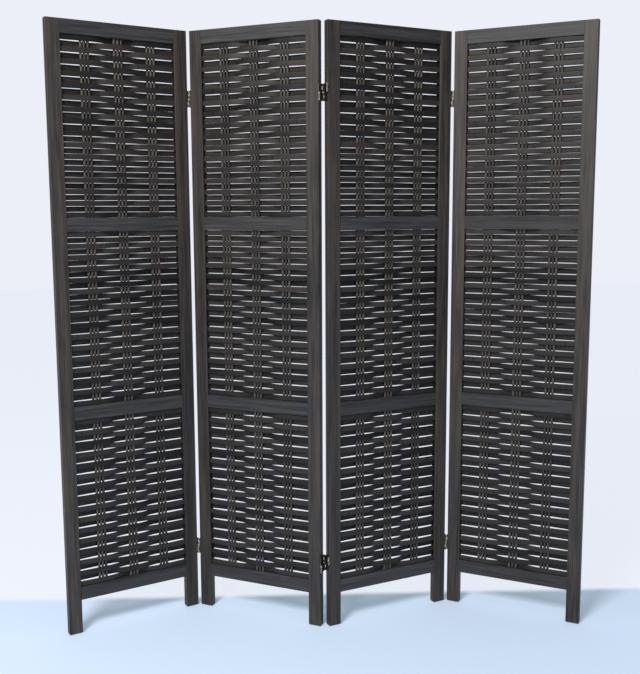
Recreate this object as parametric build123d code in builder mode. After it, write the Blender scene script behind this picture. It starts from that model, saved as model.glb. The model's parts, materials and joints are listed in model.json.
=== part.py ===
from build123d import *
from math import cos, radians, sin
import os

os.makedirs("parts", exist_ok=True)

# Panel frame. All sizes are in millimetres.
panel_height = 1700.0
panel_width = 400.0
frame_thickness = 20.0
stile_width = 38.0
rail_height = 38.0
leg_height = 98.0
bay_count = 3
arris = 0.8
foot_bevel = 3.0

# Dowels that hold each rail between the stiles
dowel_diameter = 8.0
dowel_length = 36.0
dowel_spacing = 19.0
dowel_clearance = 0.05
dowel_end_play = 0.5

# Upright stakes of the weave, in columns
stake_diameter = 7.5
stake_pitch = 10.0
stakes_per_column = 3
column_pitch = 94.0
column_count = 3
stake_seat = 8.0
stake_clearance = 0.1
stake_end_play = 0.5

# Flat slats woven in front of and behind the columns
slat_thickness = 2.4
slat_height = 14.7
slat_gap = 0.9
slat_end_offset = 3.0
weave_clearance = 0.15
groove_depth = 7.0
slat_end_play = 0.5

# Two-way hinges: a leaf on each stile, joined by two crossed plates
panel_gap = 7.0
hinge_height = 46.0
hinge_inset = 188.0
leaf_thickness = 1.2
plate_thickness = 1.2
axis_outset = 1.9
knuckle_radius = 2.2
plate_knuckle_height = 7.8
knuckle_gap = 0.2
half_gap = 1.2
web_clearance = 0.3
pin_radius = 1.0
pin_clearance = 0.05
pin_chamfer = 0.2

# Countersunk screws that fix the leaves
screw_spacing = 24.0
screw_radius = 1.4
screw_head_radius = 2.6
screw_length = 15.0
screw_tip = 3.0
screw_tip_radius = 0.3
screw_clearance = 0.05
screw_slot_width = 0.6
screw_slot_depth = 0.5

# How the screen stands: heading of the first panel and the fold at each hinge line
first_heading = 30.0
folds = (56.0, 51.0, 53.0)

# Sizes worked out from the values above
half_width = panel_width / 2
half_thickness = frame_thickness / 2
inner_edge = half_width - stile_width
rail_length = 2 * inner_edge
bay_height = (panel_height - leg_height - (bay_count + 1) * rail_height) / bay_count
bay_pitch = bay_height + rail_height
rail_bottoms = [leg_height + n * bay_pitch for n in range(bay_count + 1)]
bay_bottoms = [bottom + rail_height for bottom in rail_bottoms[:-1]]
rail_names = ["bottom_rail", "lower_rail", "upper_rail", "top_rail"]

slats_per_bay = round(bay_height / (slat_height + slat_gap))
slat_pitch = bay_height / slats_per_bay
slat_wander = (slat_pitch - slat_height) / 4
slat_reach = inner_edge + groove_depth - slat_end_play
crossing_offset = stake_diameter / 2 + weave_clearance + slat_thickness / 2
groove_width = 2 * (slat_end_offset + slat_thickness / 2 + weave_clearance)
column_half = (stakes_per_column - 1) / 2 * stake_pitch + stake_diameter / 2
columns = [(n - (column_count - 1) / 2) * column_pitch for n in range(column_count)]

hinge_x = half_width + panel_gap / 2
axis_y = half_thickness + axis_outset
hinge_centres = (hinge_inset, panel_height - hinge_inset)
half_height = (hinge_height - half_gap) / 2
leaf_knuckle_height = (half_height - plate_knuckle_height) / 2 - knuckle_gap
pin_hole_radius = pin_radius + pin_clearance

FRONT = -1
BACK = 1
LEFT = -1
RIGHT = 1
LOWER = -1
UPPER = 1


def upright(origin, heading):
    """A floor plane with x along a panel, y towards its back and z up."""
    x_dir = (cos(radians(heading)), sin(radians(heading)), 0)
    return Plane(origin=origin, x_dir=x_dir, z_dir=(0, 0, 1))


def section_at(ground, x, facing):
    """The section plane at x along a panel, facing left or right: x is depth and y is height."""
    origin = ground.from_local_coords((x, 0, 0))
    return Plane(origin=origin, x_dir=facing * ground.y_dir, z_dir=facing * ground.x_dir)


def stand(start):
    """The floor planes of the panels, each turned about the barrel that it shares with the last."""
    grounds = [upright(start, first_heading)]
    heading = first_heading
    for line, fold in enumerate(folds):
        side = FRONT if line % 2 == 0 else BACK
        pivot = grounds[-1].from_local_coords((hinge_x, side * axis_y, 0))
        heading += side * fold
        centre = upright(pivot, heading).from_local_coords((hinge_x, -side * axis_y, 0))
        grounds.append(upright(centre, heading))
    return grounds


def reach(grounds):
    """The lowest and highest x and y of the corners and the hinge knuckles."""
    spots = []
    for ground in grounds:
        for x_sign in (LEFT, RIGHT):
            for side in (FRONT, BACK):
                corner = ground.from_local_coords((x_sign * half_width, side * half_thickness, 0))
                spots.append((corner.X, corner.Y, 0))
    for left, right in zip(grounds, grounds[1:]):
        for side in (FRONT, BACK):
            for panel, x in ((left, hinge_x), (right, -hinge_x)):
                axis = panel.from_local_coords((x, side * axis_y, 0))
                spots.append((axis.X, axis.Y, knuckle_radius))
    low = [min(spot[n] - spot[2] for spot in spots) for n in (0, 1)]
    high = [max(spot[n] + spot[2] for spot in spots) for n in (0, 1)]
    return low, high


def write(builder, name):
    builder.part.label = name
    export_step(builder.part, f"parts/{name}.step")


def dowel_spots(bottoms):
    """Depth and height of the dowels in the rails at these heights, two to each joint."""
    middles = [bottom + rail_height / 2 for bottom in bottoms]
    return [(0, middle + sign * dowel_spacing / 2) for middle in middles for sign in (-1, 1)]


def stile(ground, x_sign, hinged, name):
    """A full-height upright, grooved for the slat ends, bored for dowels and screws."""
    with BuildPart() as post:
        with BuildSketch(ground):
            with Locations((x_sign * (half_width - stile_width / 2), 0)):
                Rectangle(stile_width, frame_thickness)
        extrude(amount=panel_height)
        chamfer(post.faces().sort_by(Axis.Z)[0].edges(), foot_bevel)
        chamfer(post.edges().filter_by(Axis.Z) + post.faces().sort_by(Axis.Z)[-1].edges(), arris)
        with BuildSketch(*[ground.offset(bottom) for bottom in bay_bottoms]):
            with Locations((x_sign * (inner_edge + groove_depth / 2), 0)):
                Rectangle(groove_depth, groove_width)
        extrude(amount=bay_height, mode=Mode.SUBTRACT)
        with BuildSketch(section_at(ground, x_sign * inner_edge, x_sign)):
            with Locations(*dowel_spots(rail_bottoms)):
                Circle(dowel_diameter / 2 + dowel_clearance)
        extrude(amount=dowel_length / 2 + dowel_end_play, mode=Mode.SUBTRACT)
        if hinged:
            with BuildSketch(section_at(ground, x_sign * half_width, x_sign)):
                with Locations(*screw_spots()):
                    Circle(screw_radius + screw_clearance)
            extrude(amount=-screw_length, mode=Mode.SUBTRACT)
    write(post, name)


def stake_spots():
    """Places of the stakes in plan, column by column."""
    middle = (stakes_per_column - 1) / 2
    return [(x + (n - middle) * stake_pitch, 0) for x in columns for n in range(stakes_per_column)]


def rail(ground, bottom, name):
    """A cross rail between the stiles, bored for its dowels and for the stakes that meet it."""
    with BuildPart() as bar:
        with BuildSketch(section_at(ground, -inner_edge, RIGHT)) as section:
            with Locations((0, bottom + rail_height / 2)):
                Rectangle(frame_thickness, rail_height)
            chamfer(section.vertices(), arris)
        extrude(amount=2 * inner_edge)
        for x_sign in (LEFT, RIGHT):
            with BuildSketch(section_at(ground, x_sign * inner_edge, x_sign)):
                with Locations(*dowel_spots([bottom])):
                    Circle(dowel_diameter / 2 + dowel_clearance)
            extrude(amount=-dowel_length / 2 - dowel_end_play, mode=Mode.SUBTRACT)
        if bottom > rail_bottoms[0]:
            with BuildSketch(ground.offset(bottom)):
                with Locations(*stake_spots()):
                    Circle(stake_diameter / 2 + stake_clearance)
            extrude(amount=stake_seat, mode=Mode.SUBTRACT)
        if bottom < rail_bottoms[-1]:
            with BuildSketch(ground.offset(bottom + rail_height)):
                with Locations(*stake_spots()):
                    Circle(stake_diameter / 2 + stake_clearance)
            extrude(amount=-stake_seat, mode=Mode.SUBTRACT)
    write(bar, name)


def dowels(ground, name):
    """Round pegs glued half in a rail and half in a stile."""
    with BuildPart() as pegs:
        for x_sign in (LEFT, RIGHT):
            with BuildSketch(section_at(ground, x_sign * inner_edge, x_sign)):
                with Locations(*dowel_spots(rail_bottoms)):
                    Circle(dowel_diameter / 2)
            extrude(amount=dowel_length / 2, both=True)
    write(pegs, name)


def stakes(ground, name):
    """Round sticks in columns, each seated in the rails above and below its bay."""
    seated = stake_seat - stake_end_play
    with BuildPart() as sticks:
        with BuildSketch(*[ground.offset(bottom - seated) for bottom in bay_bottoms]):
            with Locations(*stake_spots()):
                Circle(stake_diameter / 2)
        extrude(amount=bay_height + 2 * seated)
    write(sticks, name)


def bend(start, end):
    """Two tangent arcs from start to end, level at both."""
    middle = ((start[0] + end[0]) / 2, (start[1] + end[1]) / 2)
    TangentArc(start, middle, tangent=(1, 0))
    TangentArc(end, middle, tangent=(-1, 0))


def slat_edge(side, shift):
    """One long edge of a slat in plan, from end to end past the columns."""
    last = (-slat_reach, side * slat_end_offset + shift)
    for n, column in enumerate(columns):
        y = side * (-1) ** n * crossing_offset + shift
        bend(last, (column - column_half, y))
        last = (column + column_half, y)
        Line((column - column_half, y), last)
    bend(last, (slat_reach, last_side(side) * slat_end_offset + shift))


def last_side(side):
    """The side on which a slat that starts on this side passes its last column."""
    return side * (-1) ** (column_count - 1)


def slat_levels(panel, side):
    """Bottoms of the slats that start on one side, each a little off its even place."""
    levels = []
    for bay, bottom in enumerate(bay_bottoms):
        for n in range(slats_per_bay):
            count = n + (bay + panel * bay_count) * slats_per_bay
            level = bottom + (n + 0.5) * slat_pitch - slat_height / 2
            if (n % 2 == 0) == (side == FRONT):
                levels.append(level + slat_wander * sin(count * count))
    return levels


def slats(ground, panel, name):
    """Flat strips of three bays. Neighbours pass the columns on opposite sides."""
    half = slat_thickness / 2
    with BuildPart() as strips:
        for side in (FRONT, BACK):
            with BuildSketch(*[ground.offset(level) for level in slat_levels(panel, side)]):
                with BuildLine():
                    slat_edge(side, -half)
                    slat_edge(side, half)
                    for x, y_side in ((-slat_reach, side), (slat_reach, last_side(side))):
                        y = y_side * slat_end_offset
                        Line((x, y - half), (x, y + half))
                make_face()
            extrude(amount=slat_height)
    write(strips, name)


def screw_spots():
    """Depth and height of the screws on a stile's edge, two to each leaf."""
    return [(0, centre + sign * screw_spacing / 2) for centre in hinge_centres for sign in (-1, 1)]


def on_edge(ground, x_sign):
    """Where each screw of a stile stands, pointing out of the stile."""
    edge = section_at(ground, x_sign * half_width, x_sign).location
    return [edge * Location((x, y, 0)) for x, y in screw_spots()]


def half_bottom(centre, half):
    """The lower end of the upper or the lower half of a hinge."""
    return centre + half_gap / 2 if half == UPPER else centre - half_gap / 2 - half_height


def leaf_knuckle_levels(centre, half):
    """The lower ends of the two leaf knuckles in a hinge half."""
    start = half_bottom(centre, half)
    return start, start + half_height - leaf_knuckle_height


def leaf_knuckle(x_sign, side):
    """A knuckle in plan: an eye on an arm that turns out past the face of the stile."""
    arm_end = axis_y + leaf_thickness / 2
    with Locations((x_sign * (half_width + leaf_thickness / 2), side * (half_thickness + arm_end) / 2)):
        Rectangle(leaf_thickness, arm_end - half_thickness)
    with Locations((x_sign * (half_width + panel_gap / 4), side * axis_y)):
        Rectangle(panel_gap / 2, leaf_thickness)
    with Locations((x_sign * hinge_x, side * axis_y)):
        Circle(knuckle_radius)
        Circle(pin_hole_radius, mode=Mode.SUBTRACT)


def leaves(ground, x_signs, name):
    """The hinge leaves screwed to a panel's edges. Front and back knuckles take opposite halves."""
    with BuildPart() as plates:
        for x_sign in x_signs:
            with BuildSketch(*[ground.offset(centre - hinge_height / 2) for centre in hinge_centres]):
                with Locations((x_sign * (half_width + leaf_thickness / 2), 0)):
                    Rectangle(leaf_thickness, frame_thickness)
            extrude(amount=hinge_height)
            for side in (FRONT, BACK):
                half = x_sign * side
                levels = [z for centre in hinge_centres for z in leaf_knuckle_levels(centre, half)]
                with BuildSketch(*[ground.offset(level) for level in levels]):
                    leaf_knuckle(x_sign, side)
                extrude(amount=leaf_knuckle_height)
            with Locations(*on_edge(ground, x_sign)):
                Cone(
                    screw_radius + screw_clearance,
                    screw_head_radius + screw_clearance,
                    leaf_thickness,
                    align=(Align.CENTER, Align.CENTER, Align.MIN),
                    mode=Mode.SUBTRACT,
                )
    write(plates, name)


def screws(ground, x_signs, name):
    """Slotted countersunk screws, flush with the leaves."""
    centred = (Align.CENTER, Align.CENTER, Align.MIN)
    hung = (Align.CENTER, Align.CENTER, Align.MAX)
    with BuildPart() as fixings:
        for x_sign in x_signs:
            with Locations(*on_edge(ground, x_sign)):
                Cone(screw_radius, screw_head_radius, leaf_thickness, align=centred)
                Cylinder(screw_radius, screw_length - screw_tip, align=hung)
            below = Location((0, 0, screw_tip - screw_length))
            with Locations(*[spot * below for spot in on_edge(ground, x_sign)]):
                Cone(screw_tip_radius, screw_radius, screw_tip - screw_clearance, align=hung)
            above = Location((0, 0, leaf_thickness))
            with Locations(*[spot * above for spot in on_edge(ground, x_sign)]):
                Box(3 * screw_head_radius, screw_slot_width, 2 * screw_slot_depth, mode=Mode.SUBTRACT)
    write(fixings, name)


def gap_middle(ground, x_sign):
    """The floor plane at the middle of a hinge gap, square to the panel that it lies beside."""
    origin = ground.from_local_coords((x_sign * hinge_x, 0, 0))
    return Plane(origin=origin, x_dir=ground.x_dir, z_dir=ground.z_dir)


def crossed_plates(middle, half, name):
    """The plates that cross a gap in one half of each hinge, with an eye at each end."""
    web = 2 * (axis_y - knuckle_radius - web_clearance)
    bottoms = [half_bottom(centre, half) for centre in hinge_centres]
    eye_rise = leaf_knuckle_height + knuckle_gap
    with BuildPart() as plates:
        with BuildSketch(*[middle.offset(bottom) for bottom in bottoms]):
            Rectangle(plate_thickness, web)
        extrude(amount=half_height)
        with BuildSketch(*[middle.offset(bottom + eye_rise) for bottom in bottoms]):
            Rectangle(plate_thickness, 2 * axis_y)
            with Locations((0, -axis_y), (0, axis_y)):
                Circle(knuckle_radius)
                Circle(pin_hole_radius, mode=Mode.SUBTRACT)
        extrude(amount=plate_knuckle_height)
    write(plates, name)


def pins(middle, spots, bottoms, name):
    """Plain hinge pins with eased ends, one through each pair of eyes."""
    with BuildPart() as rods:
        with BuildSketch(*[middle.offset(bottom) for bottom in bottoms]):
            with Locations(*spots):
                Circle(pin_radius)
        extrude(amount=half_height)
        chamfer(rods.edges().filter_by(GeomType.CIRCLE), pin_chamfer)
    write(rods, name)


def panel(ground, number, hinged_signs):
    """One panel: its frame, its weave and its side of the hinges."""
    label = f"panel_{number + 1}"
    stile(ground, LEFT, LEFT in hinged_signs, f"{label}_stile_left")
    stile(ground, RIGHT, RIGHT in hinged_signs, f"{label}_stile_right")
    for rail_name, bottom in zip(rail_names, rail_bottoms):
        rail(ground, bottom, f"{label}_{rail_name}")
    dowels(ground, f"{label}_dowels")
    stakes(ground, f"{label}_stakes")
    slats(ground, number, f"{label}_slats")
    leaves(ground, hinged_signs, f"{label}_hinge_leaves")
    screws(ground, hinged_signs, f"{label}_hinge_screws")


def hinge_line(left, right, line):
    """The crossed plates and pins of one line, set as the fold leaves them."""
    label = f"hinge_{line + 1}"
    beside_left = gap_middle(left, RIGHT)
    beside_right = gap_middle(right, LEFT)
    folds_about_front = line % 2 == 0
    upper = beside_left if folds_about_front else beside_right
    lower = beside_right if folds_about_front else beside_left
    spots = [(0, FRONT * axis_y), (0, BACK * axis_y)]
    for half_name, middle, half in (("upper", upper, UPPER), ("lower", lower, LOWER)):
        bottoms = [half_bottom(centre, half) for centre in hinge_centres]
        crossed_plates(middle, half, f"{label}_{half_name}_plates")
        pins(middle, spots, bottoms, f"{label}_{half_name}_pins")


rough = stand((0, 0, 0))
low, high = reach(rough)
grounds = stand((-(low[0] + high[0]) / 2, -(low[1] + high[1]) / 2, 0))
for number, ground in enumerate(grounds):
    sides = [sign for sign, last in ((LEFT, 0), (RIGHT, len(folds))) if number != last]
    panel(ground, number, sides)
for line, (left, right) in enumerate(zip(grounds, grounds[1:])):
    hinge_line(left, right, line)
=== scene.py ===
import json
import math
import random

import bpy
from mathutils import Matrix, Vector

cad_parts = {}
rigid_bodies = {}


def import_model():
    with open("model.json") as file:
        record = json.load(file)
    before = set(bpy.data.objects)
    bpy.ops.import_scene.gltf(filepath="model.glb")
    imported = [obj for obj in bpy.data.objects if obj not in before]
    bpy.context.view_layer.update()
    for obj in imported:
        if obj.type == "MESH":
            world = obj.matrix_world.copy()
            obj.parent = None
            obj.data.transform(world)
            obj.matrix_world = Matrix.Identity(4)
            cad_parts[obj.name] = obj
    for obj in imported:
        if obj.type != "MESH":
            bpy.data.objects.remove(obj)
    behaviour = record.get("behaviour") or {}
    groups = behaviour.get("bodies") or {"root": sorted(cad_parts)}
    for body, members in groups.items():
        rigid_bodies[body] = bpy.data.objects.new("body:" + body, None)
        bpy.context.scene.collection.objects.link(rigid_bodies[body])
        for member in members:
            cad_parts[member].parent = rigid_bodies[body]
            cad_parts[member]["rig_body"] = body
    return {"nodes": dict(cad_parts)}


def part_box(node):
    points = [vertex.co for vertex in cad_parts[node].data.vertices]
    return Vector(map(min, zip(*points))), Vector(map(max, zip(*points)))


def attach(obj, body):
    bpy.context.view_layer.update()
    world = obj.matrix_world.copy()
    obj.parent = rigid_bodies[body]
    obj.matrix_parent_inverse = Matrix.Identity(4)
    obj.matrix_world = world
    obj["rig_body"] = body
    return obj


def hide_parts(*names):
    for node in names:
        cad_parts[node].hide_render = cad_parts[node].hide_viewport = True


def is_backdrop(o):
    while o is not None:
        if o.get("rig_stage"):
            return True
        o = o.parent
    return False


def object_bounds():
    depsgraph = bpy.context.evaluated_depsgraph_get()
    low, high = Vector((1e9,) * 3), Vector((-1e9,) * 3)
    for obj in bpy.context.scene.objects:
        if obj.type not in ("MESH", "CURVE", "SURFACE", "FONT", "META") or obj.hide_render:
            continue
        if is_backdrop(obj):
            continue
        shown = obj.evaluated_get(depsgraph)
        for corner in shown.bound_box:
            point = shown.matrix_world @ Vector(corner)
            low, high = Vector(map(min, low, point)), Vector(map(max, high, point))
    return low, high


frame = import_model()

packed_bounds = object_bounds()


# The view is from a standing person's eye, a little above the middle of the screen and
# looking slightly down, with a moderate lens.
eye = Vector((-0.11395, -2.68035, 1.19851))
turn_to_right = 0.0378
tilt = -0.1344
roll = -0.0041
sensor_width = 36
lens_per_sensor = 943.09 / 640
camera = bpy.data.objects.new("camera", bpy.data.cameras.new("camera"))
camera.data.sensor_fit = "HORIZONTAL"
camera.data.sensor_width = sensor_width
camera.data.lens = sensor_width * lens_per_sensor
camera.matrix_world = (
    Matrix.Translation(eye)
    @ Matrix.Rotation(-turn_to_right, 4, "Z")
    @ Matrix.Rotation(math.pi / 2 + tilt, 4, "X")
    @ Matrix.Rotation(roll, 4, "Z")
)
bpy.context.scene.collection.objects.link(camera)
bpy.context.scene.camera = camera
bpy.context.scene.view_settings.view_transform = "Standard"


# The room has a pale blue floor that turns white behind the screen and pale light all
# round, with one large soft lamp above the viewer on the left.
class Value:
    """An output of a node in a material, which takes part in sums."""

    def __init__(self, tree, socket):
        self.tree = tree
        self.socket = socket

    def add(self, kind, settings, links, output=0):
        """Adds a node, sets it and links it. Gives one of its outputs."""
        node = self.tree.nodes.new(kind)
        for name, setting in settings.items():
            setattr(node, name, setting)
        for name, source in links.items():
            if isinstance(source, Value):
                self.tree.links.new(source.socket, node.inputs[name])
            else:
                node.inputs[name].default_value = source
        return Value(self.tree, node.outputs[output])

    def math(self, operation, *terms):
        return self.add("ShaderNodeMath", {"operation": operation}, dict(enumerate(terms)))

    def vector(self, operation, other):
        return self.add("ShaderNodeVectorMath", {"operation": operation}, {0: self, 1: other})

    def band(self, low, high):
        """0 below low, 1 above high, and smooth between them."""
        links = {"Value": self, "From Min": low, "From Max": high}
        return self.add("ShaderNodeMapRange", {"interpolation_type": "SMOOTHSTEP"}, links)

    def blend(self, first, second):
        """A colour that goes from the first to the second as this value goes from 0 to 1."""
        links = {"Factor": self, 6: first, 7: second}
        return self.add("ShaderNodeMix", {"data_type": "RGBA"}, links, 2)

    def noise(self, scale, detail=2.0, roughness=0.5):
        """Noise at this place, about 0.5 on average."""
        links = {"Vector": self, "Scale": scale, "Detail": detail, "Roughness": roughness}
        return self.add("ShaderNodeTexNoise", {}, links)

    def __add__(self, other):
        return self.math("ADD", self, other)

    def __sub__(self, other):
        return self.math("SUBTRACT", self, other)

    def __rsub__(self, other):
        return self.math("SUBTRACT", other, self)

    def __mul__(self, other):
        return self.math("MULTIPLY", self, other)

    __radd__ = __add__
    __rmul__ = __mul__


def grey_to_colour(red, green, blue):
    """A screen colour of 0 to 255 as the light that it stands for."""
    return tuple((level / 255) ** 2.2 for level in (red, green, blue)) + (1,)


def new_material(name):
    """An empty surface: the material, its shader and the place on the object, as a Value."""
    material = bpy.data.materials.new(name)
    material.use_nodes = True
    tree = material.node_tree
    shader = tree.nodes["Principled BSDF"]
    place = Value(tree, None).add("ShaderNodeTexCoord", {}, {}, "Object")
    return material, shader, place


def finish_material(shader, sockets, bump=None, depth=0.0):
    """Links or sets the shader's inputs, with an optional height for its surface."""
    tree = shader.id_data
    for name, source in sockets.items():
        if isinstance(source, Value):
            tree.links.new(source.socket, shader.inputs[name])
        else:
            shader.inputs[name].default_value = source
    if bump is not None:
        links = {"Height": bump, "Distance": depth, "Strength": 1.0}
        relief = bump.add("ShaderNodeBump", {}, links)
        tree.links.new(relief.socket, shader.inputs["Normal"])


def mesh_object(name, points, faces, material, smooth=False):
    """A mesh object in the scene with one material."""
    mesh = bpy.data.meshes.new(name)
    mesh.from_pydata(points, [], faces)
    mesh.materials.append(material)
    for face in mesh.polygons:
        face.use_smooth = smooth
    made = bpy.data.objects.new(name, mesh)
    bpy.context.scene.collection.objects.link(made)
    return made


room_half_width = 12.0
floor_end = 0.135
edge_before = 0.012
edge_after = 0.03
edge_wander = 0.02
floor, floor_shader, place = new_material("floor")
depth = place.add("ShaderNodeSeparateXYZ", {}, {"Vector": place}, "Y")
mottle = place.noise(2.2, 3.0)
wandering = depth + (mottle - 0.5) * edge_wander
beyond = wandering.band(floor_end - edge_before, floor_end + edge_after)
floor_colour = beyond.blend(grey_to_colour(214, 229, 255), grey_to_colour(110, 112, 116))
floor_glow = beyond.blend(grey_to_colour(100, 117, 122), grey_to_colour(222, 226, 236))
finish_material(floor_shader, {
    "Base Color": floor_colour,
    "Roughness": 0.65 + mottle * 0.2,
    "Specular IOR Level": 0.2,
    "Emission Color": floor_glow,
    "Emission Strength": 1.0,
})
corners = [(x, y, 0) for x, y in ((-1, -1), (1, -1), (1, 1), (-1, 1))]
points = [(x * room_half_width, y * room_half_width, z) for x, y, z in corners]
mesh_object("floor", points, [(0, 1, 2, 3)], floor)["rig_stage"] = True

light_in_room = 0.36
extra_where_seen = 0.54
world = bpy.data.worlds.new("room light")
world.use_nodes = True
background = world.node_tree.nodes["Background"]
seen = Value(world.node_tree, None).add("ShaderNodeLightPath", {}, {}, "Is Camera Ray")
strength = light_in_room + extra_where_seen * seen
world.node_tree.links.new(strength.socket, background.inputs["Strength"])
background.inputs["Color"].default_value = (0.94, 0.96, 1.04, 1)
bpy.context.scene.world = world
lamp = bpy.data.objects.new("key", bpy.data.lights.new("key", "AREA"))
lamp.data.size = 1.1
lamp.data.energy = 145
lamp.data.color = (1.0, 0.98, 0.95)
lamp.location = (-1.5, -2.9, 3.3)
lamp_aim = Vector((0, 0, 1.1))
lamp.rotation_euler = (lamp_aim - lamp.location).to_track_quat("-Z", "Y").to_euler()
bpy.context.scene.collection.objects.link(lamp)


# The frame is sawn hardwood, planed, eased at its arrises, stained near black and given a
# thin satin lacquer. Its grain runs along each stile and each rail.
headings = {"panel_1": 30, "panel_2": -26, "panel_3": 25, "panel_4": -28}


def along_panel(place, panel):
    """The place with x along the panel, y through it and z up."""
    links = {"Vector": place, "Angle": -math.radians(headings[panel])}
    return place.add("ShaderNodeVectorRotate", {"rotation_type": "Z_AXIS"}, links)


def frame_wood(name, panel, stretch, shift, dark, light):
    """Stained wood with its grain along the axis that stretch makes long."""
    material, shader, place = new_material(name)
    spot = along_panel(place, panel).vector("ADD", shift)
    grained = spot.vector("MULTIPLY", stretch)
    figure = grained.noise(1.0, 4.0, 0.6)
    pores = grained.vector("MULTIPLY", (4.0, 4.0, 4.0)).noise(1.0, 3.0, 0.65)
    wear = spot.noise(9.0, 2.0)
    tone = (0.6 * figure + 0.4 * pores).band(0.34, 0.68)
    stained = tone.blend(dark, light)
    rubbed = wear.band(0.45, 0.75)
    colour = (rubbed * 0.35).blend(stained, (0.036, 0.034, 0.036, 1))
    finish_material(
        shader,
        {
            "Base Color": colour,
            "Roughness": 0.36 + pores * 0.22 + wear * 0.08,
            "Specular IOR Level": 0.4,
        },
        pores * 0.7 + figure * 0.5,
        0.0004,
    )
    return material


for name, node in frame["nodes"].items():
    panel = name[:7]
    if name.startswith("panel") and ("stile" in name or "rail" in name):
        chance = random.Random(name)
        if "stile" in name:
            grain, dark, light = (70, 70, 2.2), (0.012, 0.009, 0.0075), (0.060, 0.047, 0.038)
        else:
            grain, dark, light = (2.2, 70, 70), (0.013, 0.012, 0.012), (0.050, 0.047, 0.047)
        stain = chance.uniform(0.85, 1.2)
        dark, light = ([part * stain for part in colour] + [1] for colour in (dark, light))
        shift = [chance.uniform(0, 20) for _ in range(3)]
        node.data.materials.clear()
        node.data.materials.append(frame_wood(name, panel, grain, shift, dark, light))


# The slats are split bamboo, flat and springy, stained as the frame is and woven in front of
# and behind the stakes. Each has its own tone, fine fibres along it and a node ring or two.
nodes_per_metre = 3.4
node_half = 0.014


def slat_bamboo(name, panel):
    """Stained split bamboo with the fibres along the panel."""
    material, shader, place = new_material(name)
    chance = place.add("ShaderNodeNewGeometry", {}, {}, "Random Per Island")
    spot = along_panel(place, panel)
    along = spot.add("ShaderNodeSeparateXYZ", {}, {"Vector": spot}, "X")
    fibres = spot.vector("MULTIPLY", (5.0, 200.0, 520.0)).noise(1.0, 4.0, 0.65)
    patches = spot.vector("MULTIPLY", (7.0, 20.0, 40.0)).noise(1.0, 2.0)
    counted = (along + chance * 7.3) * nodes_per_metre
    from_node = counted.math("FRACT", counted) - 0.5
    node_ring = 1.0 - from_node.math("ABSOLUTE", from_node).band(0.0, node_half)
    tone = (0.36 * chance + 0.32 * patches + 0.32 * fibres).band(0.2, 0.74)
    stained = tone.blend((0.0022, 0.0019, 0.0018, 1), (0.032, 0.026, 0.022, 1))
    colour = (node_ring * 0.6).blend(stained, (0.004, 0.0035, 0.003, 1))
    finish_material(
        shader,
        {
            "Base Color": colour,
            "Roughness": 0.36 + fibres * 0.2 + patches * 0.08,
            "Specular IOR Level": 0.3,
        },
        fibres * 0.6 + node_ring * 0.8,
        0.0003,
    )
    return material


def panel_middle(panel):
    """The middle of a panel at the floor."""
    boxes = [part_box(f"{panel}_stile_{side}") for side in ("left", "right")]
    middle = sum((low + high for low, high in boxes), Vector()) / 4
    return Vector((middle.x, middle.y, 0))


slat_half = 0.0012
slat_end_offset = 0.003
crossing_offset = 0.0051
column_half = 0.01375
columns = (-0.094, 0.0, 0.094)
eased = 0.00035
crown = 0.00012
crown_start = crown / 3
crown_width = 6 * eased
waver = 0.0001
least_rise = 1e-6
steps_bent = 12
steps_straight = 4


def slat_line(reach, side):
    """Points along the middle of a slat, level past each column with two arcs between."""
    stations = [(-reach, side * slat_end_offset)]
    for n, column in enumerate(columns):
        y = side * (-1) ** n * crossing_offset
        stations += [(column - column_half, y), (column + column_half, y)]
    stations.append((reach, side * slat_end_offset))
    line = []
    for (x, y), (next_x, next_y) in zip(stations, stations[1:]):
        run, rise = (next_x - x) / 2, (next_y - y) / 2
        bent = abs(rise) > least_rise
        steps = steps_bent if bent else steps_straight
        radius = (run * run + rise * rise) / (2 * abs(rise)) if bent else 0
        for step in range(steps):
            along = 2 * run * step / steps
            near = min(along, 2 * run - along)
            bulge = radius - math.sqrt(radius * radius - near * near) if bent else 0
            lift = math.copysign(bulge, rise)
            line.append((x + along, y + lift if along <= run else next_y - lift))
    return line + [stations[-1]]


def slat_places(node, panel):
    """The lower end, upper end, reach and first side of each slat of a panel."""
    turn = Matrix.Rotation(-math.radians(headings[panel]), 3, "Z")
    middle = panel_middle(panel)
    spots = [turn @ (vertex.co - middle) for vertex in node.data.vertices]
    reach = max(abs(spot.x) for spot in spots)
    levels = {}
    for spot in spots:
        levels.setdefault(round(spot.z, 5), []).append(spot)
    ordered = sorted(levels)
    for low, high in zip(ordered[::2], ordered[1::2]):
        beside = min(levels[low], key=lambda spot: abs(spot.x - columns[0]))
        yield low, high, reach, 1 if beside.y > 0 else -1


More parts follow.
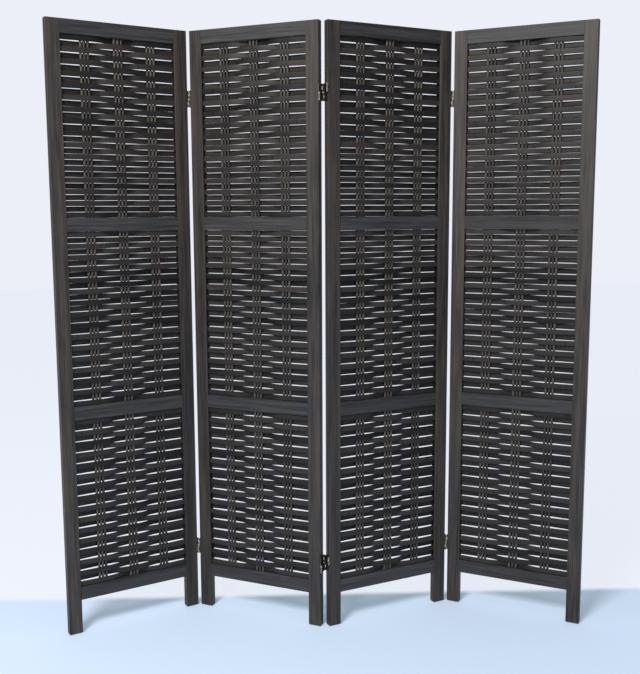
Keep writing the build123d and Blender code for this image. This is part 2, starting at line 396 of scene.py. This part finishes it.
def woven_slats(node, panel):
    """The slats of a panel with eased, slightly wavering edges and a low crown."""
    chance = random.Random(panel)
    turn = Matrix.Rotation(math.radians(headings[panel]), 3, "Z")
    middle = panel_middle(panel)
    points, faces = [], []
    for low, high, reach, side in slat_places(node, panel):
        waves = [(chance.uniform(9, 60), chance.uniform(0, 6.3)) for _ in range(4)]
        line = slat_line(reach, side)
        start = len(points)
        for x, y in line:
            sway = [math.sin(rate * x + phase) for rate, phase in waves]
            top = high + waver * (0.2 + sway[0] + sway[1])
            bottom = low - waver * (0.2 + sway[2] + sway[3])
            rim = slat_half - crown
            half_ring = [
                (slat_half, (top + bottom) / 2),
                (slat_half - crown_start, top - crown_width),
                (rim, top - eased),
                (rim - eased, top),
            ]
            under = [(through, top + bottom - up) for through, up in half_ring[:0:-1]]
            ring = half_ring + [(-through, up) for through, up in half_ring[::-1]]
            ring += [(-through, up) for through, up in under[::-1]] + under
            points += [middle + turn @ Vector((x, y + through, up)) for through, up in ring]
        width = len(ring)
        for n in range(len(line) - 1):
            near, far = start + n * width, start + (n + 1) * width
            for k in range(width):
                after = (k + 1) % width
                faces.append((near + k, far + k, far + after, near + after))
        faces.append(tuple(range(start, start + width)))
        faces.append(tuple(reversed(range(len(points) - width, len(points)))))
    bamboo = slat_bamboo(f"{panel}_slats", panel)
    made = mesh_object(f"{panel}_woven_slats", points, faces, bamboo, smooth=True)
    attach(made, panel)
    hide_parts(node.name)


for panel in headings:
    woven_slats(frame["nodes"][f"{panel}_slats"], panel)


# The stakes are thin round bamboo sticks, stained a shade lighter, and they stand in holes
# in the rails above and below.
def stake_bamboo(name):
    """Stained round sticks with fibres along them."""
    material, shader, place = new_material(name)
    chance = place.add("ShaderNodeNewGeometry", {}, {}, "Random Per Island")
    fibres = place.vector("MULTIPLY", (900.0, 900.0, 7.0)).noise(1.0, 3.0, 0.6)
    patches = place.vector("MULTIPLY", (30.0, 30.0, 9.0)).noise(1.0, 2.0)
    tone = (0.4 * chance + 0.3 * patches + 0.3 * fibres).band(0.15, 0.8)
    colour = tone.blend((0.018, 0.014, 0.012, 1), (0.085, 0.069, 0.056, 1))
    finish_material(
        shader,
        {"Base Color": colour, "Roughness": 0.36 + fibres * 0.2, "Specular IOR Level": 0.45},
        fibres,
        0.0002,
    )
    return material


for panel in headings:
    node = frame["nodes"][f"{panel}_stakes"]
    node.data.materials.clear()
    node.data.materials.append(stake_bamboo(f"{panel}_stakes"))


# The hinge leaves and plates are stamped and rolled steel with an antique bronze finish, dark
# on the flats and worn bright on the knuckles that stand out past the faces of the frame.
face_of_frame = 0.0096
past_frame = 0.0112


def rubbed_metal(name, dark, bright, roughness, scale, panel=None):
    """Metal whose finish has rubbed through in patches, and on what stands out of a panel."""
    material, shader, place = new_material(name)
    patches = place.noise(scale, 4.0, 0.6)
    scratches = place.vector("MULTIPLY", (scale * 6, scale * 6, scale)).noise(1.0, 3.0, 0.6)
    rubbed = (0.7 * patches + 0.3 * scratches).band(0.38, 0.66)
    if panel:
        spot = along_panel(place.vector("SUBTRACT", tuple(panel_middle(panel))), panel)
        through = spot.add("ShaderNodeSeparateXYZ", {}, {"Vector": spot}, "Y")
        outside = through.math("ABSOLUTE", through).band(face_of_frame, past_frame)
        rubbed = rubbed * (0.12 + 0.88 * outside)
    finish_material(
        shader,
        {
            "Base Color": rubbed.blend(dark, bright),
            "Metallic": 1.0,
            "Roughness": roughness + 0.25 * (1.0 - rubbed) + 0.06 * scratches,
        },
        scratches,
        0.00005,
    )
    return material


pin_steel = rubbed_metal("pin_steel", (0.34, 0.335, 0.33, 1), (0.58, 0.57, 0.56, 1), 0.22, 500)
screw_bronze = rubbed_metal("screw_bronze", (0.16, 0.12, 0.085, 1), (0.5, 0.41, 0.3, 1), 0.28, 420)
antique, worn = (0.075, 0.058, 0.045, 1), (0.74, 0.64, 0.52, 1)
bronzes = {
    panel: rubbed_metal(f"bronze_{panel}", antique, worn, 0.2, 200, panel)
    for panel in headings
}
for name, node in frame["nodes"].items():
    if "leaves" in name or "plates" in name:
        material = bronzes[node["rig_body"]]
    elif "screws" in name:
        material = screw_bronze
    elif "pins" in name:
        material = pin_steel
    else:
        continue
    node.data.materials.clear()
    node.data.materials.append(material)


# The dowels are turned from pale beech, left plain and glued into both halves of each joint.
beech, beech_shader, place = new_material("beech")
fleck = place.vector("MULTIPLY", (90.0, 90.0, 400.0)).noise(1.0, 3.0)
beech_colour = fleck.band(0.3, 0.7).blend((0.46, 0.31, 0.18, 1), (0.66, 0.49, 0.31, 1))
beech_sockets = {"Base Color": beech_colour, "Roughness": 0.55 + fleck * 0.2}
finish_material(beech_shader, beech_sockets, fleck, 0.0002)
for panel in headings:
    node = frame["nodes"][f"{panel}_dowels"]
    node.data.materials.clear()
    node.data.materials.append(beech)


corners = {"packed": packed_bounds, "shown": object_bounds()}
{when: [list(corner) for corner in pair] for when, pair in corners.items()}
